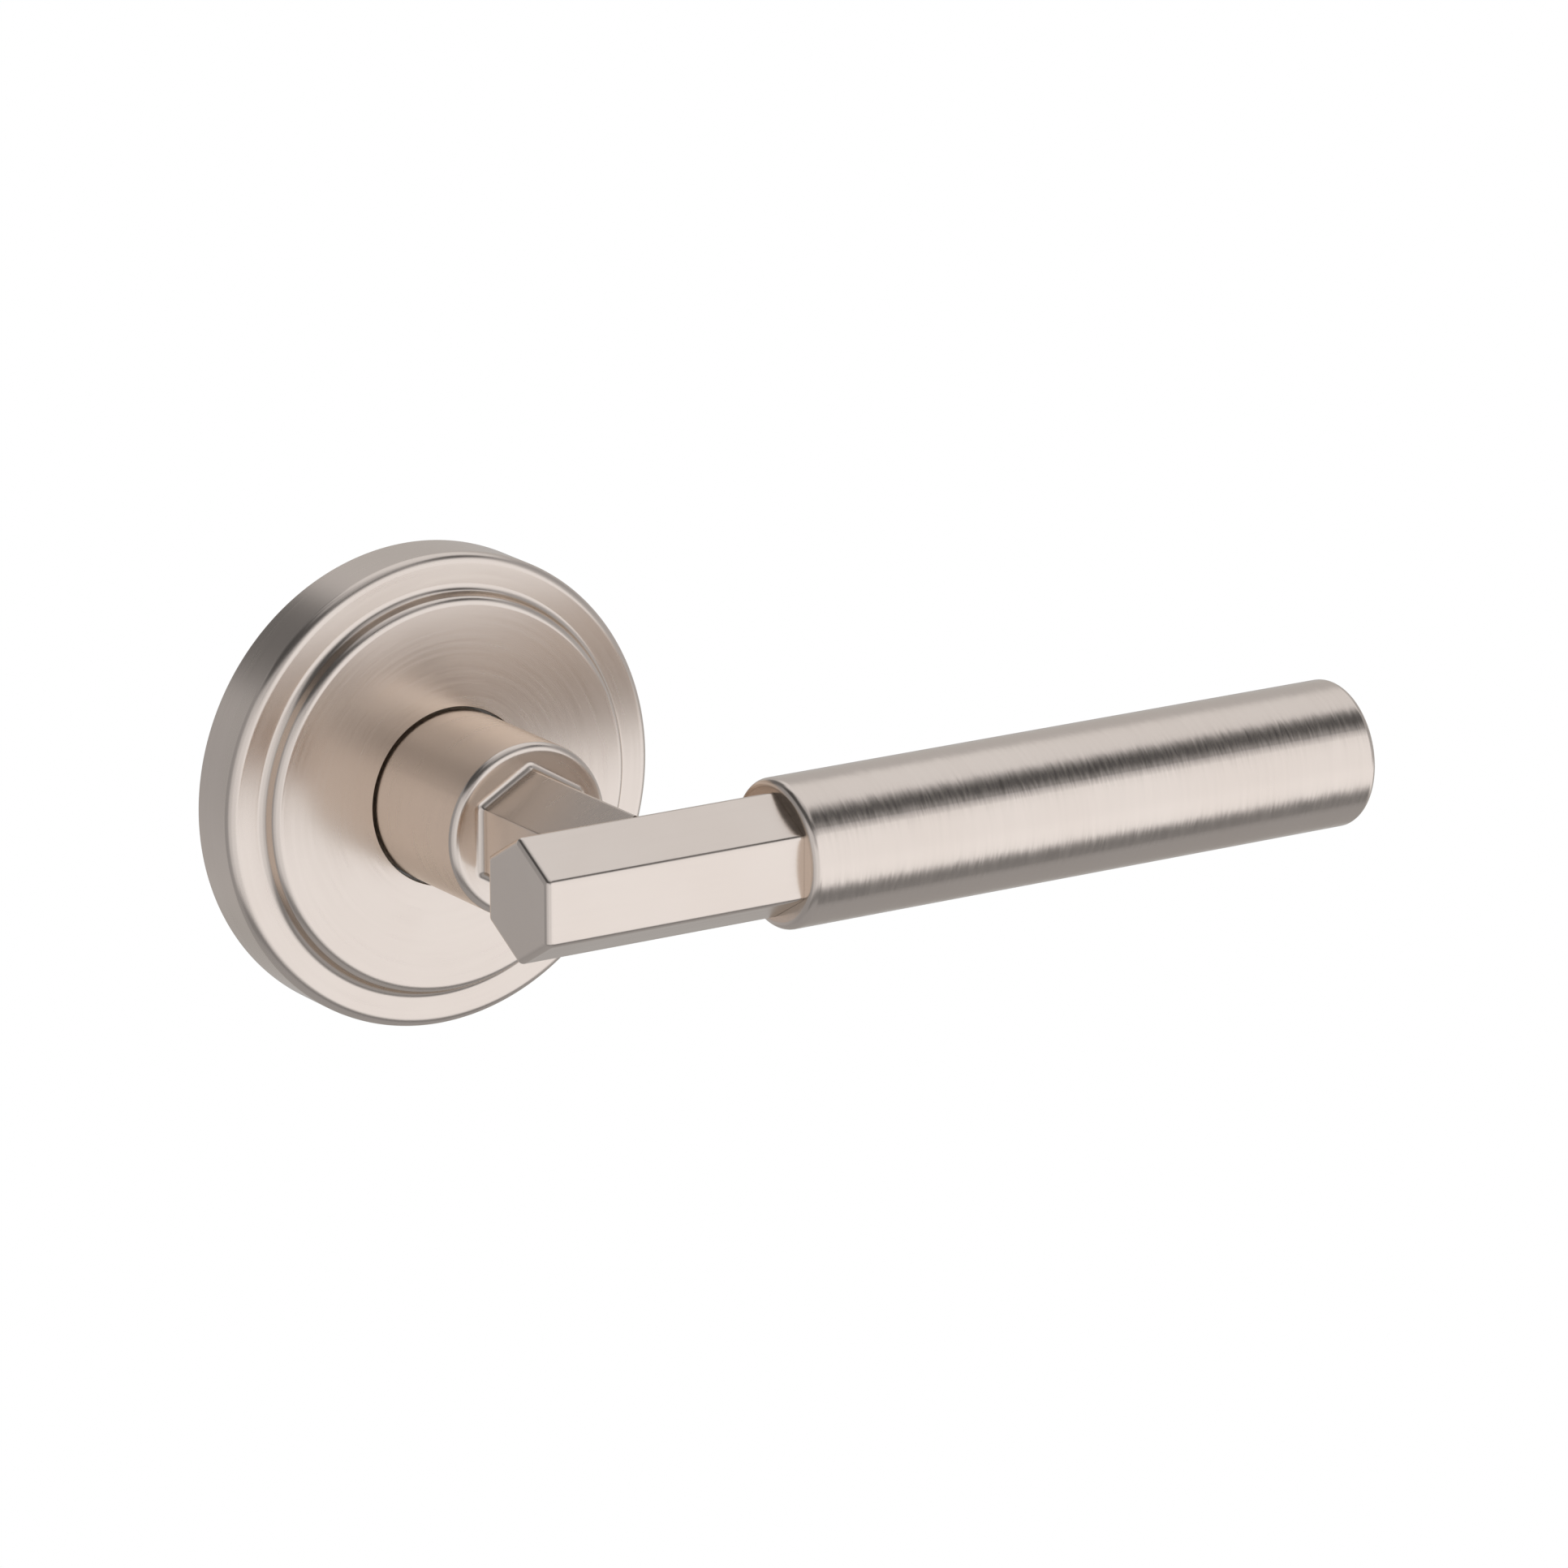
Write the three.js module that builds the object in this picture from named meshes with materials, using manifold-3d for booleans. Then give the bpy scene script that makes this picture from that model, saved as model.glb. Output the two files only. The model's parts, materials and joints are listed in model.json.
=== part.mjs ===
// A door lever handle: a round stepped rosette on a mounting plate, a turned neck with a
// hexagonal shank, a hexagonal lever bar across it and a round tube grip on the bar.
//
// Millimetres, +Z up. The origin is on the door's face, on the spindle's axis. The handle
// stands out from the door along -Y, the lever runs along +X and the spindle goes into the
// door along +Y. "Depth" below is the distance out from the door's face, so y = -depth.
import * as THREE from "three";
import { mergeVertices } from "three/addons/utils/BufferGeometryUtils.js";
import Module from "manifold-3d";

const wasm = await Module();
wasm.setup();

// ---------------------------------------------------------------- driving dimensions

const ROSE = {
  radius: 33.35, // covers a 54 mm bore in the door
  rimDepth: 8.6, // door to the outer ring's face
  step: 2.6, // the inner disc stands this far above the outer ring
  discRadius: 27.95,
  stepLean: 0.3, // the step's wall leans in, this far to each side of discRadius
  holeRadius: 12.55,
  edgeRound: 1.45,
  discRound: 1.25,
  stepFillet: 1.2,
  wall: 1.6,
};

const NECK = {
  radius: 12.2,
  depth: 31.6, // door to the neck's end face
  edgeRound: 1.15,
  shankFillet: 1.1,
  hubRadius: 10.4, // the stretch with two flats that carries the driver plate
  hubFlat: 9.4,
  tailRadius: 9.2,
  tailDepth: -6, // the tail ends inside the door's bore
  shoulderDepth: 8.9,
  hubBackDepth: 7.6,
};

// The lever's bar and the shank are the same hexagon. Only the bar's edges are softened.
const HEX = {
  apothem: 7.6,
  barRound: 0.9,
  shankRound: 0.4,
  axisDepth: 58.6,
  freeEnd: -18.5,
  shoulder: 35,
};
const SPIGOT = { radius: 6, end: 108 };

const GRIP = {
  radius: 10.3,
  boreRadius: 8.85,
  start: 21.4,
  end: 114,
  endWall: 4, // the wall with the hexagonal hole that the bar comes through
  edgeRound: 1.2,
};

const PLUG = { length: 4.5, inset: 0.25, chamfer: 0.35 }; // closes the grip's far end
const BUSH = { inner: [35.05, 45], outer: [98, 106] }; // where the grip sits on the spigot

const PLATE = {
  radius: 31.4,
  thickness: 3,
  bore: 11,
  recessRadius: 14.5,
  recessDepth: 1.2,
  grooveWidth: 1.5,
  grooveDepth: 1,
};

const SPRING = { wire: 0.55, coil: 11.4, legEnd: 15.4, back: 4.45, rise: 2.54 };
const POST = { halfWidth: 1.6, inner: 14.3, front: 7.2 };
const HOUSING = { inner: 16, outer: 16.8, hole: 13.4, front: 7.4, sheet: 0.8 };
const STOP = { turn: 45, lugHalfWidth: 3, lugTip: 20.2, pinRadius: 1.5, pinCircle: 18.6 };
const RIVET = { radius: 1.2, circle: 20, tabRadius: 3, angles: [50, 130, 270] };
const FIXING = { spacing: 41.3, radius: 3, headRadius: 3.7, head: 1, tip: -12, thread: 1.65 };
const SPINDLE = { side: 7.9, front: 19.5, back: -38, chamfer: 0.5 };
const BAR_SCREW = { seat: 24.2, headRadius: 3.5, headHeight: 4, tip: 60 };
const NECK_GRUB = { depth: 14, radius: 2.45 };
const GRIP_GRUB = { x: 40, radius: 1.45 };
const CLIP = { front: -1.2, back: -2.3, seat: 8.5, outer: 10.9, eye: 2.1, gap: 16 };
const DRIVER = { radius: 15.2, lugRoot: 13, tabRoot: 12.4 };
const BUSH_FLANGE = { radius: 13, thickness: 0.8 };
const THRUST = { radius: 13.6, back: 0.2, front: 1 };
const WAVE = { radius: 12.8, thickness: 0.4, height: 1.15, front: 0.1 };
const GUIDE = { radius: 15, thickness: 0.5 };
const PRESS = 0.05; // gap between pieces that are pressed or clamped together
const RUNNING = 0.05; // gap between pieces that turn in each other

const ROUND = 56; // sides of the large turned pieces
const SMALL = 24; // sides of screws, pins and holes

// ---------------------------------------------------------------- materials

const finish = (color, roughness, metalness = 1) =>
  new THREE.MeshStandardMaterial({ color, roughness, metalness });

const satinNickel = finish(0xcfc4ba, 0.34);
const zincSteel = finish(0xb9bcc0, 0.4);
const springSteel = finish(0x8e9196, 0.3);
const blackSteel = finish(0x2e2f31, 0.45);
const bronze = finish(0xb08a52, 0.45);
const nylon = finish(0xe9e6dd, 0.55, 0);

// ---------------------------------------------------------------- helpers

const rad = THREE.MathUtils.degToRad;

// Points of an arc about (cx, cy), from one angle to another in degrees.
function arc(cx, cy, radius, from, to, steps = 3) {
  return Array.from({ length: steps + 1 }, (_, i) => {
    const a = rad(from + ((to - from) * i) / steps);
    return [cx + radius * Math.cos(a), cy + radius * Math.sin(a)];
  });
}

// A closed outline of [radius, along] points turned about the Y axis, anticlockwise.
function lathed(outline, sides = ROUND) {
  const points = outline.map(([r, y]) => new THREE.Vector2(r, y));
  const onAxis = points[0].x === 0 && points.at(-1).x === 0;
  if (!onAxis) points.push(points[0].clone());
  return new THREE.LatheGeometry(points, sides);
}

// Turned about Y: the outline's second number is the depth out from the door.
const turned = (outline, sides) => lathed(outline.map(([r, d]) => [r, -d]).reverse(), sides);

// Turned about X, with the outline's second number along +X.
const turnedAlongX = (outline, sides) => lathed(outline, sides).rotateZ(-Math.PI / 2);

const ring = (inner, outer, back, front) => [
  [inner, back],
  [outer, back],
  [outer, front],
  [inner, front],
];

// A flat outline in X and Z, from one depth to another.
function plateShape(shape, back, front, curveSegments = 12) {
  return new THREE.ExtrudeGeometry(shape, {
    depth: front - back,
    bevelEnabled: false,
    curveSegments,
  })
    .rotateX(Math.PI / 2)
    .translate(0, -back, 0);
}

// A round rod from one depth to another, centred at (x, z).
function rodY(radius, back, front, x = 0, z = 0, sides = SMALL) {
  return new THREE.CylinderGeometry(radius, radius, front - back, sides).translate(
    x,
    -(back + front) / 2,
    z,
  );
}

// A round rod along Z, centred at (x, y).
function rodZ(radius, low, high, x, y, sides = SMALL) {
  return new THREE.CylinderGeometry(radius, radius, high - low, sides)
    .rotateX(Math.PI / 2)
    .translate(x, y, (low + high) / 2);
}

// A box from low corner to high corner, each [x, depth, z].
function block([x0, d0, z0], [x1, d1, z1]) {
  return new THREE.BoxGeometry(x1 - x0, d1 - d0, z1 - z0).translate(
    (x0 + x1) / 2,
    -(d0 + d1) / 2,
    (z0 + z1) / 2,
  );
}

// A hexagon with a corner at the top and its corners rounded to a radius.
function hexagonPoints(apothem, round = 0, cornerSteps = round ? 3 : 0) {
  const corner = ((apothem - round) * 2) / Math.sqrt(3);
  const points = [];
  for (let side = 0; side < 6; side++) {
    const middle = 90 + side * 60;
    for (let i = 0; i <= cornerSteps; i++) {
      const a = rad(cornerSteps ? middle - 30 + (60 * i) / cornerSteps : middle);
      points.push([
        corner * Math.cos(rad(middle)) + round * Math.cos(a),
        corner * Math.sin(rad(middle)) + round * Math.sin(a),
      ]);
    }
  }
  return points;
}

const shapeOf = (points) => new THREE.Shape(points.map(([x, y]) => new THREE.Vector2(x, y)));

// A closed skin through rings of [x, z] points at given depths, with flat ends.
function lofted(rings) {
  const count = rings[0].points.length;
  const position = rings.flatMap(({ points, depth }) =>
    points.flatMap(([x, z]) => [x, -depth, z]),
  );
  const index = [];
  for (let r = 0; r < rings.length - 1; r++) {
    for (let i = 0; i < count; i++) {
      const a = r * count + i;
      const b = r * count + ((i + 1) % count);
      index.push(a, b, a + count, b, b + count, a + count);
    }
  }
  const last = (rings.length - 1) * count;
  for (let i = 1; i < count - 1; i++) {
    index.push(0, i + 1, i);
    index.push(last, last + i, last + i + 1);
  }
  return new THREE.BufferGeometry()
    .setAttribute("position", new THREE.Float32BufferAttribute(position, 3))
    .setIndex(index);
}

// A geometry as a solid that can be joined and cut, and back again.
function solid(geometry) {
  const bare = new THREE.BufferGeometry()
    .setAttribute("position", geometry.getAttribute("position").clone())
    .setIndex(geometry.index);
  const merged = mergeVertices(bare, 1e-4);
  return new wasm.Manifold(
    new wasm.Mesh({
      numProp: 3,
      vertProperties: merged.attributes.position.array,
      triVerts: new Uint32Array(merged.index.array),
    }),
  );
}

function geometryOf(body) {
  const mesh = body.getMesh();
  return new THREE.BufferGeometry()
    .setAttribute("position", new THREE.BufferAttribute(mesh.vertProperties, 3))
    .setIndex(new THREE.BufferAttribute(mesh.triVerts, 1));
}

const cut = (geometry, ...tools) =>
  geometryOf(tools.reduce((body, tool) => body.subtract(solid(tool)), solid(geometry)));

const join = (...geometries) =>
  geometryOf(geometries.map(solid).reduce((a, b) => a.add(b)));

const around = (circle, degrees) => [
  circle * Math.cos(rad(degrees)),
  circle * Math.sin(rad(degrees)),
];

// A hexagonal prism for a key, along Y.
const keyY = (apothem, back, front) =>
  plateShape(shapeOf(hexagonPoints(apothem)), back, front);

// ---------------------------------------------------------------- pieces on the door

function rosetteCover() {
  const { radius, rimDepth, step, discRadius, holeRadius, wall } = ROSE;
  const { edgeRound, discRound, stepFillet, stepLean } = ROSE;
  const face = rimDepth + step;
  const innerRadius = radius - wall;
  const groove = PLATE.thickness / 2;
  const foot = discRadius + stepLean;
  const top = discRadius - stepLean;
  const lean = Math.atan2(foot - top, step);
  const leanDegrees = THREE.MathUtils.radToDeg(lean);
  const run = Math.tan(Math.PI / 4 - lean / 2); // from a corner to where its rounding starts
  return turned([
    [innerRadius, 0],
    [radius, 0],
    ...arc(radius - edgeRound, rimDepth - edgeRound, edgeRound, 0, 90),
    ...arc(foot + stepFillet * run, rimDepth + stepFillet, stepFillet, 270, 180 + leanDegrees),
    ...arc(top - discRound * run, face - discRound, discRound, leanDegrees, 90),
    [holeRadius, face],
    [holeRadius, face - wall],
    [top - wall, face - wall],
    [foot - wall, rimDepth - wall],
    [innerRadius, rimDepth - wall],
    [innerRadius, groove + 0.8],
    [innerRadius + 0.5, groove + 0.5],
    [innerRadius + 0.5, groove - 0.5],
    [innerRadius, groove - 0.8],
  ]);
}

function coverSnapRing() {
  const middle = PLATE.radius - 0.15;
  const halfGap = 12;
  const path = new THREE.CatmullRomCurve3(
    Array.from({ length: 41 }, (_, i) => {
      const [x, z] = around(middle, 270 + halfGap + ((360 - 2 * halfGap) * i) / 40);
      return new THREE.Vector3(x, -PLATE.thickness / 2, z);
    }),
  );
  return wire(path, 0.6, 48);
}

function coverGuideWasher() {
  const front = ROSE.rimDepth + ROSE.step - ROSE.wall - 0.1;
  return turned(ring(NECK.radius + 0.1, GUIDE.radius, front - GUIDE.thickness, front));
}

function mountingPlate() {
  const { radius, thickness, bore, recessRadius, recessDepth } = PLATE;
  const { grooveWidth, grooveDepth } = PLATE;
  const low = (thickness - grooveWidth) / 2;
  const disc = turned([
    [bore, recessDepth],
    [recessRadius, recessDepth],
    [recessRadius, 0],
    [radius, 0],
    [radius, low],
    [radius - grooveDepth, low],
    [radius - grooveDepth, thickness - low],
    [radius, thickness - low],
    [radius, thickness],
    [bore, thickness],
  ]);
  const holes = [-1, 1].map((side) =>
    rodY(FIXING.radius + PRESS, -1, thickness + 1, (side * FIXING.spacing) / 2),
  );
  for (const angle of stopAngles())
    holes.push(rodY(STOP.pinRadius + PRESS, -1, thickness + 1, ...around(STOP.pinCircle, angle)));
  for (const angle of RIVET.angles)
    holes.push(rodY(RIVET.radius + PRESS, -1, thickness + 1, ...around(RIVET.circle, angle)));
  return cut(disc, ...holes);
}

function bearingBush() {
  const inner = NECK.tailRadius + RUNNING;
  const outer = PLATE.bore - PRESS;
  const back = PLATE.recessDepth - 0.1;
  const seat = PLATE.thickness + PRESS;
  const front = seat + BUSH_FLANGE.thickness;
  return turned([
    [inner, back],
    [outer, back],
    [outer, seat],
    [BUSH_FLANGE.radius, seat],
    [BUSH_FLANGE.radius, front],
    [inner, front],
  ]);
}

function springHousing() {
  const { inner, outer, hole, front, sheet } = HOUSING;
  const back = PLATE.thickness + PRESS;
  const cup = turned([
    [hole, back],
    [outer, back],
    [outer, front],
    [inner, front],
    [inner, back + sheet],
    [hole, back + sheet],
  ]);
  const post = block(
    [-POST.halfWidth, back + sheet - 0.1, POST.inner],
    [POST.halfWidth, POST.front, inner + 0.2],
  );
  const tabs = RIVET.angles.map((angle) => rivetTab(angle, back, back + sheet));
  const holes = RIVET.angles.map((angle) =>
    rodY(RIVET.radius + PRESS, back - 1, back + sheet + 1, ...around(RIVET.circle, angle)),
  );
  return cut(join(cup, post, ...tabs), ...holes);
}

// A round-ended foot from the housing's wall out past its rivet.
function rivetTab(angle, back, front) {
  const { circle, tabRadius } = RIVET;
  const start = (HOUSING.inner + HOUSING.outer) / 2;
  const shape = new THREE.Shape();
  shape.moveTo(start, -tabRadius);
  shape.lineTo(circle, -tabRadius);
  shape.absarc(circle, 0, tabRadius, -Math.PI / 2, Math.PI / 2);
  shape.lineTo(start, tabRadius);
  // Turning about Y takes +X towards -Z, so the angle is taken the other way round.
  return plateShape(shape, back, front).rotateY(-rad(angle));
}

function housingRivet(angle) {
  const seat = PLATE.thickness + HOUSING.sheet + 2 * PRESS;
  const [x, z] = around(RIVET.circle, angle);
  return turned(
    [
      [0, 0.3],
      [RIVET.radius, 0.3],
      [RIVET.radius, seat],
      [2.1, seat],
      ...arc(0, seat - 0.4, 2.14, 11, 90, 3).slice(0, -1),
      [0, seat + 1.74],
    ],
    SMALL,
  ).translate(x, 0, z);
}

// Round wire along a path.
function wire(path, radius, steps) {
  const section = new THREE.Shape().absarc(0, 0, radius, 0, 2 * Math.PI);
  return new THREE.ExtrudeGeometry(section, {
    extrudePath: path,
    steps,
    curveSegments: 4,
    bevelEnabled: false,
  });
}

// A coil of nearly two turns whose two legs stand either side of the housing's post.
function returnSpring() {
  const { wire: thick, coil, legEnd, back, rise } = SPRING;
  const legOffset = POST.halfWidth + thick + PRESS;
  const legAngle = THREE.MathUtils.radToDeg(Math.asin(legOffset / coil));
  const sweep = 720 - 2 * legAngle;
  const turns = 40;
  const points = [];
  const leg = (side, depth) =>
    [legEnd, (legEnd + coil) / 2, coil + 0.9].map(
      (reach) => new THREE.Vector3(-side * legOffset, -depth, reach),
    );
  points.push(...leg(1, back));
  for (let i = 1; i < turns; i++) {
    const [x, z] = around(coil, 90 + legAngle + (sweep * i) / turns);
    points.push(new THREE.Vector3(x, -(back + (rise * i) / turns), z));
  }
  points.push(...leg(-1, back + rise).reverse());
  return wire(new THREE.CatmullRomCurve3(points), thick, 84);
}

// Where the stop pins stand so that the driver's lug meets them at the end of its turn.
function stopAngles() {
  const clearance = 0.15;
  const reach = STOP.lugHalfWidth + STOP.pinRadius + clearance;
  const beyond = THREE.MathUtils.radToDeg(Math.asin(reach / STOP.pinCircle));
  return [270 - STOP.turn - beyond, 270 + STOP.turn + beyond];
}

function stopPin(angle) {
  return rodY(STOP.pinRadius, 0.4, NECK.shoulderDepth - 0.1, ...around(STOP.pinCircle, angle));
}

// A headed post through the plate. A screw from the far side of the door threads into it.
function fixingPost(side) {
  const { spacing, radius, headRadius, head, tip, thread } = FIXING;
  const seat = PLATE.thickness + PRESS;
  const body = turned(
    [
      [0, seat - 1],
      [thread, seat - 1.6],
      [thread, tip],
      [radius - 0.4, tip],
      [radius, tip + 0.4],
      [radius, seat],
      [headRadius, seat],
      [headRadius, seat + head - 0.3],
      [headRadius - 0.3, seat + head],
      [0, seat + head],
    ],
    SMALL,
  );
  return body.translate((side * spacing) / 2, 0, 0);
}

// ---------------------------------------------------------------- pieces on the lever

function leverNeck() {
  const { radius, depth, edgeRound, shankFillet, tailRadius, tailDepth } = NECK;
  const { hubRadius, hubFlat, shoulderDepth, hubBackDepth } = NECK;
  const body = turned([
    [0, tailDepth],
    [tailRadius - 0.8, tailDepth],
    [tailRadius, tailDepth + 0.8],
    [tailRadius, CLIP.back - 0.05],
    [CLIP.seat, CLIP.back - 0.05],
    [CLIP.seat, CLIP.front + 0.05],
    [tailRadius, CLIP.front + 0.05],
    [tailRadius, hubBackDepth],
    [hubRadius, hubBackDepth],
    [hubRadius, shoulderDepth],
    [radius, shoulderDepth],
    ...arc(radius - edgeRound, depth - edgeRound, edgeRound, 0, 90),
    [0, depth],
  ]);
  const flats = [-1, 1].map((side) => {
    const [near, far] = [hubFlat, hubRadius + 1].map((x) => side * x);
    return block(
      [Math.min(near, far), hubBackDepth - 0.1, -hubRadius],
      [Math.max(near, far), shoulderDepth, hubRadius],
    );
  });
  const section = (grow, at) => ({
    points: hexagonPoints(HEX.apothem + grow, HEX.shankRound + grow),
    depth: at,
  });
  const shank = lofted([
    section(shankFillet, depth - 1),
    ...arc(shankFillet, shankFillet, shankFillet, 270, 180).map(([x, d]) =>
      section(x, depth + d),
    ),
    section(0, HEX.axisDepth - 0.4),
  ]);
  const socket = SPINDLE.side / 2 + 0.1;
  return cut(
    join(body, shank),
    ...flats,
    hexBarBlank(PRESS),
    block([-socket, tailDepth - 1, -socket], [socket, SPINDLE.front + 0.5, socket]),
    rodY(BAR_SCREW.headRadius + 0.2, SPINDLE.front, BAR_SCREW.seat),
    rodY(2.1, SPINDLE.front, HEX.axisDepth),
    rodZ(NECK_GRUB.radius + PRESS, -radius - 1, 0, 0, -NECK_GRUB.depth),
  );
}

// The hexagonal stretch of the lever bar, grown by a little where it is used as a cutter.
function hexBarBlank(grow = 0) {
  const { apothem, barRound, freeEnd, shoulder, axisDepth } = HEX;
  const sharpest = 0.05;
  const section = (inset, along) => ({
    points: hexagonPoints(
      apothem + grow - inset,
      Math.max(barRound + grow - inset, sharpest),
    ),
    depth: along,
  });
  const nose = arc(barRound, barRound, barRound, 270, 180, 4);
  return lofted([
    ...nose.map(([inset, along]) => section(inset, freeEnd - grow + along)),
    section(0, shoulder + grow),
  ])
    .rotateZ(Math.PI / 2)
    .translate(0, -axisDepth, 0);
}

function hexBar() {
  const spigot = turnedAlongX(
    [
      [0, HEX.shoulder - 1],
      [SPIGOT.radius, HEX.shoulder - 1],
      [SPIGOT.radius, SPIGOT.end - 0.8],
      [SPIGOT.radius - 0.8, SPIGOT.end],
      [0, SPIGOT.end],
    ],
    48,
  ).translate(0, -HEX.axisDepth, 0);
  return cut(
    join(hexBarBlank(), spigot),
    rodY(2, HEX.axisDepth - HEX.apothem - 1, BAR_SCREW.tip + 0.5),
  );
}

// A socket-head cap screw that draws the bar onto the shank.
function barScrew() {
  const { seat, headRadius, headHeight, tip } = BAR_SCREW;
  const foot = seat - PRESS - headHeight;
  const body = turned(
    [
      [0, foot],
      [headRadius - 0.3, foot],
      [headRadius, foot + 0.3],
      [headRadius, seat - PRESS],
      [1.9, seat - PRESS],
      [1.9, tip - 0.5],
      [1.4, tip],
      [0, tip],
    ],
    SMALL,
  );
  return cut(body, keyY(1.5, foot - 1, foot + 2));
}

// A tube closed at the near end by a wall with a hexagonal hole.
function gripSleeve() {
  const { radius, boreRadius, start, end, endWall, edgeRound } = GRIP;
  const tube = turnedAlongX([
    [0, start],
    ...arc(radius - edgeRound, start + edgeRound, edgeRound, -90, 0, 4),
    ...arc(radius - edgeRound, end - edgeRound, edgeRound, 0, 90, 4),
    [boreRadius, end],
    [boreRadius, start + endWall],
    [0, start + endWall],
  ]).translate(0, -HEX.axisDepth, 0);
  const hole = rodZ(GRIP_GRUB.radius + 0.15, -radius - 1, 0, GRIP_GRUB.x, -HEX.axisDepth);
  return cut(tube, hexBarBlank(PRESS), hole);
}

function gripEndPlug() {
  const { length, inset, chamfer } = PLUG;
  const radius = GRIP.boreRadius - PRESS;
  const face = GRIP.end - inset;
  return turnedAlongX([
    [0, face - length],
    [radius, face - length],
    [radius, face - chamfer],
    [radius - chamfer, face],
    [0, face],
  ]).translate(0, -HEX.axisDepth, 0);
}

// A ring on the bar's spigot that carries the grip.
function gripBush([from, to]) {
  const outline = ring(SPIGOT.radius + PRESS, GRIP.boreRadius - PRESS, from, to);
  return turnedAlongX(outline).translate(0, -HEX.axisDepth, 0);
}

function gripBushInner() {
  const hole = rodZ(GRIP_GRUB.radius + PRESS, -12, 0, GRIP_GRUB.x, -HEX.axisDepth);
  return cut(gripBush(BUSH.inner), hole);
}

// A grub screw along Z with a hexagonal socket in its lower end.
function grubScrew(radius, low, high, socket) {
  const screw = new THREE.CylinderGeometry(radius, radius, high - low, SMALL)
    .rotateX(Math.PI / 2)
    .translate(0, 0, (low + high) / 2);
  const key = new THREE.ExtrudeGeometry(shapeOf(hexagonPoints(socket)), {
    depth: (high - low) / 2 + 1,
    bevelEnabled: false,
  }).translate(0, 0, low - 1);
  return cut(screw, key);
}

function gripSetScrew() {
  const low = -GRIP.boreRadius + 0.2;
  return grubScrew(GRIP_GRUB.radius, low, -SPIGOT.radius - PRESS, 0.8).translate(
    GRIP_GRUB.x,
    -HEX.axisDepth,
    0,
  );
}

function spindleGrubScrew() {
  const low = -NECK.radius + 0.5;
  return grubScrew(NECK_GRUB.radius, low, -SPINDLE.side / 2 - PRESS, 1.25).translate(
    0,
    -NECK_GRUB.depth,
    0,
  );
}

// A square bar with its long edges and its ends chamfered.
function spindle() {
  const half = SPINDLE.side / 2;
  const { chamfer, front, back } = SPINDLE;
  const ends = (size) => {
    const c = chamfer;
    return [
      [size, -size + c],
      [size, size - c],
      [size - c, size],
      [-size + c, size],
      [-size, size - c],
      [-size, -size + c],
      [-size + c, -size],
      [size - c, -size],
    ];
  };
  return lofted([
    { points: ends(half - 0.6), depth: back },
    { points: ends(half), depth: back + 0.8 },
    { points: ends(half), depth: front },
  ]);
}

// A disc keyed to the neck's flats. Its lug meets the stop pins and its tab, which stands
// between the spring's legs, turns whichever leg it is pushed against.
function driverPlate() {
  const back = NECK.hubBackDepth + 0.1;
  const front = NECK.shoulderDepth - PRESS;
  const disc = turned(ring(5, DRIVER.radius, back, front));
  const lug = block(
    [-STOP.lugHalfWidth, back, -STOP.lugTip],
    [STOP.lugHalfWidth, front, -DRIVER.lugRoot],
  );
  const tab = block(
    [-POST.halfWidth, SPRING.back - 0.4, DRIVER.tabRoot],
    [POST.halfWidth, front - 0.2, POST.inner - 0.4],
  );
  const bore = solid(rodY(NECK.hubRadius + 0.1, back - 1, front + 1, 0, 0, ROUND)).intersect(
    solid(block([-NECK.hubFlat - 0.1, back - 2, -20], [NECK.hubFlat + 0.1, front + 2, 20])),
  );
  return cut(join(disc, lug, tab), geometryOf(bore));
}

function thrustWasher() {
  return turned(ring(NECK.tailRadius + 0.15, THRUST.radius, THRUST.back, THRUST.front));
}

// A flat spring ring pressed into three waves.
function waveWasher() {
  const { radius, thickness, height, front } = WAVE;
  const middle = front - height / 2;
  const lift = (height - thickness) / 2;
  const inner = NECK.tailRadius + 0.25;
  const flat = turned(
    ring(inner, radius, middle - thickness / 2, middle + thickness / 2),
  );
  const position = flat.getAttribute("position");
  for (let i = 0; i < position.count; i++) {
    const angle = Math.atan2(position.getZ(i), position.getX(i));
    position.setY(i, position.getY(i) + lift * Math.cos(3 * angle));
  }
  return flat;
}

// The ring that snaps into the tail's groove: open at the bottom, with two eyes for pliers.
function retainingRing() {
  const { front, back, seat, outer, eye, gap } = CLIP;
  const inner = seat + PRESS;
  const from = rad(270 + gap);
  const to = rad(270 - gap);
  const arch = new THREE.Shape();
  arch.absarc(0, 0, outer, from, to, false);
  arch.absarc(0, 0, inner, to, from, true);
  const eyes = [-1, 1].map((side) => {
    const [x, z] = around(outer + 0.3, 270 + side * (gap + 6));
    const shape = new THREE.Shape().absarc(x, z, eye, 0, 2 * Math.PI);
    return plateShape(shape, back, front, 6);
  });
  const holes = [-1, 1].map((side) =>
    rodY(0.9, back - 1, front + 1, ...around(outer + 0.6, 270 + side * (gap + 6)), 12),
  );
  const bore = rodY(inner, back - 1, front + 1, 0, 0, 36);
  return cut(join(plateShape(arch, back, front, 18), ...eyes), bore, ...holes);
}

// ---------------------------------------------------------------- assembly

const handle = new THREE.Group();

function add(name, geometry, material) {
  const mesh = new THREE.Mesh(geometry, material);
  mesh.name = name;
  handle.add(mesh);
}

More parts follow.
